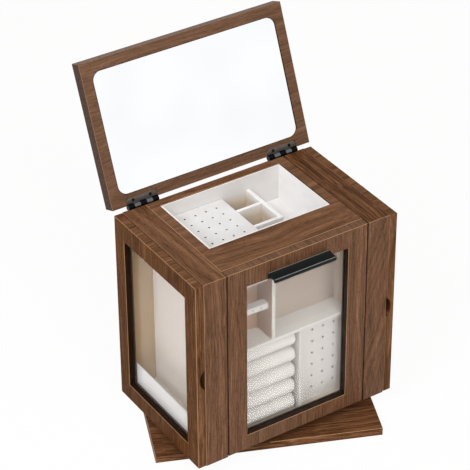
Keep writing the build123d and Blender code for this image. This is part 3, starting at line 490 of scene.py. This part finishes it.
def finish_boards():
    """Walnut foil on every board, each cut from its own place beside the pith."""
    faint_edge = "#8f6d50"
    flowing = (0.5, 0.6, 0.7, 0.6)
    cathedral = (1.0, 0.4, 0.5, 0.6)
    # side_shade: painted shade that darkens the side doors' outer faces
    sides = {"tint_and_shade": "#f4f0e8", "side_shade": "#d2c09a", "gloss": 0.03, "joint": faint_edge}
    boards = {
        # the lid's side_shade is painted shade on its left and right ends
        "lid_panel": walnut(
            "walnut_lid", "X", "Y", (60, -90), turn=(radians(LID_LEAN - 90), 0, 0),
            tint_and_shade="#ecf2f9", side_shade="#93805f", gloss=0.18, contrast=0.6, edge="#86674b",
        ),
        "base_plate": walnut(
            "walnut_base", "X", "Y", (40, 70), turn=(0, 0, radians(-PLATE_TURN)),
            tint_and_shade="#f1e7d9", contrast=1.25,
        ),
        "left_front_stile": walnut(
            "walnut_left_stile", "Z", "Y", (-250, -30), tint_and_shade="#f3f3f4", gloss=0.12, contrast=0.8,
        ),
        "right_front_stile": walnut(
            "walnut_right_stile", "Z", "Y", (-250, -30), slope=-0.35, drift=4.0,
            tint_and_shade="#f3f3f3", gloss=0.14, contrast=0.8, figure=cathedral,
        ),
        "left_top_board": walnut(
            "walnut_left_top", "Y", "X", (-250, 200), slope=0.04, drift=5.0,
            tint_and_shade="#f5f2ee", contrast=0.75, figure=flowing, edge=faint_edge,
        ),
        # painted shade: the tint of this board darkens it against the left top board
        "right_top_board": walnut(
            "walnut_right_top", "Y", "X", (170, 240), tint_and_shade="#d6cab6", contrast=1.5, edge=faint_edge,
        ),
        "centre_top_frame": walnut(
            "walnut_centre_top", "X", "Y", (-40, 215), slope=0.06, drift=5.0, contrast=0.75, figure=flowing,
        ),
        "back_panel": walnut("walnut_back", "Z", "Y", (20, 150), contrast=0.8, figure=flowing),
        "inner_walls": walnut("walnut_inside", "Z", "Y", (0, 0)),
        "cabinet_floor": walnut("walnut_floor", "X", "Y", (0, 80)),
        "front_door_frame": walnut(
            "walnut_front_door", "Z", "Y", (-30, -190), tint_and_shade="#f2f2f3", gloss=0.14, contrast=0.75,
            joint_way=-1.0, window=window_of("front_door_bead", 1),
        ),
        "left_door_frame": walnut(
            "walnut_left_door", "Z", "X", (-190, 10), window=window_of("left_door_bead", 0), **sides,
        ),
        "right_door_frame": walnut(
            "walnut_right_door", "Z", "X", (190, 10), window=window_of("right_door_bead", 0), **sides,
        ),
    }
    for board, wood in boards.items():
        dress(wood, board)
    dress(fibreboard("bare_fibreboard"), "front_partition", "tray_shelf")


# ======================================================================= linings and hardware
def finish_linings():
    """Velvet on all linings, dividers, boards and bars."""
    dividers_low, dividers_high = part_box("tray_dividers")
    boxes_high = dividers_high + Vector((0, BOXES_DEPTH, -SKIN_FACE)) * MM
    # painted shade deep in the tray's small compartments
    small_box_shade = (dividers_low, boxes_high, "#c6b69f")
    bars_low, bars_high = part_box("earring_hanger_bars")
    reach = Vector([BAY_REACH * MM] * 3)
    bay_low, bay_high = bars_low - reach, bars_high + reach
    bay_high.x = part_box("front_bay_uprights")[0].x + SLACK * MM
    # painted shade in the compartment behind the hanger bars
    bar_shade = (bay_low, bay_high, "#bfa189")
    # the end_wall_shade colours are painted shade on the walls that face the front and the back
    side_liner = velvet("cream_velvet_side_liner", "#ebe2d6", end_wall_shade="#c0a57f")
    # painted shade: the front bay's liner is a darker cream than the other linings
    front_liner = velvet("cream_velvet_front_liner", "#d3c5b6", end_wall_shade="#c3b4a4", depth_shade=bar_shade)
    tray = velvet("cream_velvet_tray", "#f1f0ed", end_wall_shade="#dad8d4", depth_shade=small_box_shade)
    dress(velvet("cream_velvet_pockets", "#ecebe7"), "side_pockets")
    dress(velvet("cream_velvet_bars"), "earring_hanger_bars")
    dress(tray, "tray_box", "tray_dividers")
    dress(side_liner, "left_bay_liner", "right_bay_liner")
    dress(velvet("cream_velvet_shelf", "#e2e0d8"), "front_bay_shelf")
    dress(velvet("cream_velvet_uprights", "#d8d5cd", depth_shade=bar_shade), "front_bay_uprights")
    dress(front_liner, "front_bay_liner")
    for name, axis, light in (("stud_panel", 1, "#e2dfd8"), ("tray_earring_board", 2, "#e3e3e0")):
        low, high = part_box(name)
        skin = Vector([SKIN_EDGE * MM] * 3)
        skin[axis] = SKIN_FACE * MM
        dress(velvet(f"cream_velvet_{name}", light, hole_shade=(low + skin, high - skin)), name)


def finish_handle():
    """Powder coat, with a painted highlight along the handle's front ridge and another along its back edge.
    """
    low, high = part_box("handle")
    highlight_half, fall = RIDGE_HIGHLIGHT * MM, HANDLE_FALL * MM
    across, down = [MM * size for size in BACK_HIGHLIGHT]
    ridge_low = Vector((low.x, low.y - highlight_half, high.z - fall - highlight_half))
    ridge_high = Vector((high.x, low.y + highlight_half, high.z))
    back_low = Vector((low.x, high.y - across, high.z - down))
    back_high = Vector((high.x, high.y, high.z + highlight_half))
    # painted highlights: a bright line on the ridge, a paler one on the back edge
    painted_highlights = [(ridge_low, ridge_high, "#b4b6b6"), (back_low, back_high, "#6f6862")]
    dress(powder_coat("black_powder_coat", "#131616", "#1c2020", 0.35, painted_highlights), "handle")


def finish_hardware():
    """Glass, mirror, metal, plastic and felt pieces."""
    black = moulded_plastic("black_bead_plastic", "#231b15", "#2e241c", roughness=0.5)
    brown = moulded_plastic("brown_bead_plastic", "#3f342c", "#4c3f36", roughness=0.5)
    lid_leaf = {"dark": "#6b625c", "light": "#7c726b", "roughness": 0.42}
    cabinet_side = plated_steel("black_plated_top_hinge_leaves", barrel_colour="#151619", smoother=0.2, **lid_leaf)
    # the lid's knuckles are lighter: a painted glint
    lid_side = plated_steel("black_plated_lid_hinge_leaves", barrel_colour="#66696c", smoother=0.33, **lid_leaf)
    door_leaf = plated_steel("black_plated_steel_doors", "#34312f", "#453f3b", roughness=0.3)
    screws = plated_steel("blackened_screws", "#171615", "#242220", roughness=0.4)
    zinc = plated_steel("zinc_plated_steel", "#a9abac", "#c4c6c7", roughness=0.38)
    ball = plated_steel("bearing_ball_steel", "#c8cacb", "#dadcdd", roughness=0.15)
    magnet = plated_steel("nickel_plated_magnet", "#b4b0a8", "#ccc8c0", roughness=0.25)
    gilt = plated_steel("gilt_wire", "#c9a35c", "#e2c07c", roughness=0.25)
    acetal = moulded_plastic("white_acetal", "#d6d2c8", "#e6e3da", roughness=0.45)
    dress(float_glass("clear_float_glass"), "front_door_glass", "left_door_glass", "right_door_glass")
    dress(mirror_silver("silvered_mirror"), "lid_mirror")
    dress(black, "front_door_bead")
    dress(brown, "left_door_bead", "right_door_bead")
    dress(cabinet_side, "top_hinge_leaves")
    dress(lid_side, "lid_hinge_leaves")
    dress(door_leaf, "frame_hinge_leaves", "left_door_leaves", "right_door_leaves")
    dress(screws, "hinge_pins", "cabinet_hinge_screws", "lid_hinge_screws", "handle_screws")
    dress(screws, "left_door_screws", "right_door_screws")
    dress(zinc, "bearing_inner_ring", "bearing_outer_ring", "front_door_pins")
    dress(zinc, "bearing_inner_screws", "bearing_outer_screws")
    dress(ball, "bearing_balls")
    dress(magnet, "cabinet_magnets", "front_door_magnets", "left_door_magnets", "right_door_magnets")
    dress(gilt, "chain_hooks")
    dress(acetal, "pivot_bushes")
    dress(felt("black_felt"), "base_felt")


# ======================================================================= ring rolls
def roll_shell(low, high):
    """A D-shaped bar between two corners, its round side to the front, set in all round."""
    inset = ROLL_INSET * MM
    radius = (high.z - low.z) / 2 - inset
    middle = (low.z + high.z) / 2
    front = low.y + inset + radius
    profile = [(high.y - inset, middle + radius)]
    for i in range(ROLL_STEPS + 1):
        angle = pi / 2 + pi * i / ROLL_STEPS
        profile.append((front + radius * cos(angle), middle + radius * sin(angle)))
    profile.append((high.y - inset, middle - radius))
    mesh = bmesh.new()
    ends = [[mesh.verts.new((x, y, z)) for y, z in profile] for x in (low.x + inset, high.x - inset)]
    count = len(profile)
    for i in range(count):
        j = (i + 1) % count
        mesh.faces.new((ends[0][i], ends[0][j], ends[1][j], ends[1][i]))
    mesh.faces.new(ends[0][::-1])
    mesh.faces.new(ends[1])
    bmesh.ops.recalc_face_normals(mesh, faces=mesh.faces)
    return mesh


def apply_modifiers(piece):
    """Keep the mesh that a piece's modifiers give, and drop the modifiers."""
    depsgraph = bpy.context.evaluated_depsgraph_get()
    kept = bpy.data.meshes.new_from_object(piece.evaluated_get(depsgraph))
    piece.modifiers.clear()
    piece.data = kept


def foam_roll(name, low, high):
    """A foam roll in a velvet sleeve, blown up by cloth and held in its slot by its neighbours."""
    mesh = bpy.data.meshes.new(name)
    shell = roll_shell(low, high)
    shell.to_mesh(mesh)
    shell.free()
    roll = bpy.data.objects.new(name, mesh)
    bpy.context.collection.objects.link(roll)
    remesh = roll.modifiers.new("remesh", "REMESH")
    remesh.mode = "VOXEL"
    remesh.voxel_size = ROLL_VOXEL * MM
    apply_modifiers(roll)
    start = [v.co.copy() for v in roll.data.vertices]
    cloth = roll.modifiers.new("cloth", "CLOTH")
    cloth.settings.use_pressure = True
    cloth.settings.uniform_pressure_force = ROLL_PRESSURE
    cloth.settings.effector_weights.gravity = 0.0
    for step in range(1, ROLL_FRAMES + 1):
        bpy.context.scene.frame_set(step)
    apply_modifiers(roll)
    bpy.context.scene.frame_set(1)
    swell = ROLL_SWELL * MM
    for vertex, first in zip(roll.data.vertices, start):
        move = vertex.co - first
        if move.length > swell:
            vertex.co = first + move.normalized() * swell
    subdivide = roll.modifiers.new("subdivide", "SUBSURF")
    subdivide.levels = subdivide.render_levels = 1
    apply_modifiers(roll)
    # pressed flat by what is beside it
    for vertex in roll.data.vertices:
        for axis in range(3):
            vertex.co[axis] = min(max(vertex.co[axis], low[axis]), high[axis])
    for face in roll.data.polygons:
        face.use_smooth = True
    return roll


def add_ring_rolls(material):
    """The five ring rolls, in place of their plain solids."""
    low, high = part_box("ring_rolls")
    pitch = (high.z - low.z + ROLL_GAP * MM) / ROLL_COUNT
    for row in range(ROLL_COUNT):
        bottom = low.z + row * pitch
        corner_low = Vector((low.x, low.y, bottom))
        corner_high = Vector((high.x, high.y, bottom + pitch - ROLL_GAP * MM))
        roll = foam_roll(f"ring_roll_{row + 1}", corner_low, corner_high)
        roll.data.materials.clear()
        roll.data.materials.append(material)
        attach(roll, "cabinet")
        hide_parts("ring_rolls")


# ======================================================================= floor, light and camera
def seen_directly(tree):
    """1 for what the camera sees, also in a mirror or through glass."""
    rays = add_node(tree, "LightPath").node.outputs
    seen = add_node(tree, "Math", rays["Is Camera Ray"], rays["Is Glossy Ray"], operation="MAXIMUM")
    return add_node(tree, "Math", seen, rays["Is Transmission Ray"], operation="MAXIMUM")


def add_floor(half_width, glow):
    """A plain white floor that keeps the box's soft shadow, and glows a little less than full white."""
    mesh = bpy.data.meshes.new("floor")
    corners = [(half_width * x, half_width * y, 0) for x, y in ((-1, -1), (1, -1), (1, 1), (-1, 1))]
    mesh.from_pydata(corners, [], [(0, 1, 2, 3)])
    floor = bpy.data.objects.new("floor", mesh)
    bpy.context.collection.objects.link(floor)
    material = bpy.data.materials.new("white_studio_floor")
    material.use_nodes = True
    tree = material.node_tree
    tree.nodes.clear()
    paper = add_node(tree, "BsdfDiffuse", linear("#fcfcfc"))
    shine = add_node(tree, "Emission", linear("#ffffff"), 1.0)
    factor = add_node(tree, "Math", seen_directly(tree), glow, operation="MULTIPLY")
    add_node(tree, "OutputMaterial", add_node(tree, "MixShader", factor, paper, shine))
    mesh.materials.append(material)


def add_world(strength):
    """An even pale room, which looks white behind the box and in its mirror."""
    world = bpy.data.worlds.new("studio")
    bpy.context.scene.world = world
    world.use_nodes = True
    tree = world.node_tree
    tree.nodes.clear()
    seen = seen_directly(tree)
    level = add_node(tree, "Math", seen, 1.0 - strength, strength, operation="MULTIPLY_ADD")
    colour = add_node(tree, "MixRGB", seen, linear("#fff3e6"), linear("#ffffff"))
    add_node(tree, "OutputWorld", add_node(tree, "Background", colour, level))


def direction(azimuth, elevation):
    """The way from the box to an azimuth and an elevation in degrees."""
    a, e = radians(azimuth), radians(elevation)
    return Vector((sin(a) * cos(e), -cos(a) * cos(e), sin(e)))


def add_softbox(name, azimuth, elevation, distance, size, power, colour):
    """A square lamp that looks at the middle of the box, with its distance and size in metres."""
    away = direction(azimuth, elevation)
    data = bpy.data.lights.new(name, "AREA")
    data.shape = "SQUARE"
    data.size = size
    data.energy = power
    data.color = linear(colour)[:3]
    lamp = bpy.data.objects.new(name, data)
    bpy.context.collection.objects.link(lamp)
    lamp.location = BOX_MIDDLE + away * distance
    lamp.rotation_mode = "QUATERNION"
    lamp.rotation_quaternion = (-away).to_track_quat("-Z", "Y")


def add_camera():
    """The camera, by its place, direction, roll and lens."""
    data = bpy.data.cameras.new("camera")
    data.sensor_width = 36.0
    data.lens = CAMERA_LENS
    data.clip_end = 100.0
    camera = bpy.data.objects.new("camera", data)
    bpy.context.collection.objects.link(camera)
    back = direction(CAMERA_AZIMUTH, CAMERA_ELEVATION)
    right = Vector((cos(radians(CAMERA_AZIMUTH)), sin(radians(CAMERA_AZIMUTH)), 0))
    up = back.cross(right)
    roll = radians(CAMERA_ROLL)
    rolled_right = right * cos(roll) + up * sin(roll)
    rolled_up = up * cos(roll) - right * sin(roll)
    turned = Matrix((rolled_right, rolled_up, back)).transposed().to_4x4()
    camera.matrix_world = Matrix.Translation(CAMERA_PLACE) @ turned
    bpy.context.scene.camera = camera


finish_boards()
finish_linings()
finish_handle()
finish_hardware()
add_ring_rolls(velvet("cream_velvet_sleeve"))
add_floor(half_width=12.0, glow=0.95)
add_world(strength=0.36)
add_softbox("key_softbox", azimuth=-72, elevation=42, distance=2.4, size=1.2, power=34, colour="#f3f5ff")
add_softbox("fill_softbox", azimuth=-8, elevation=38, distance=2.8, size=1.6, power=42, colour="#fbfbff")
add_camera()
bpy.context.scene.view_settings.view_transform = "Standard"
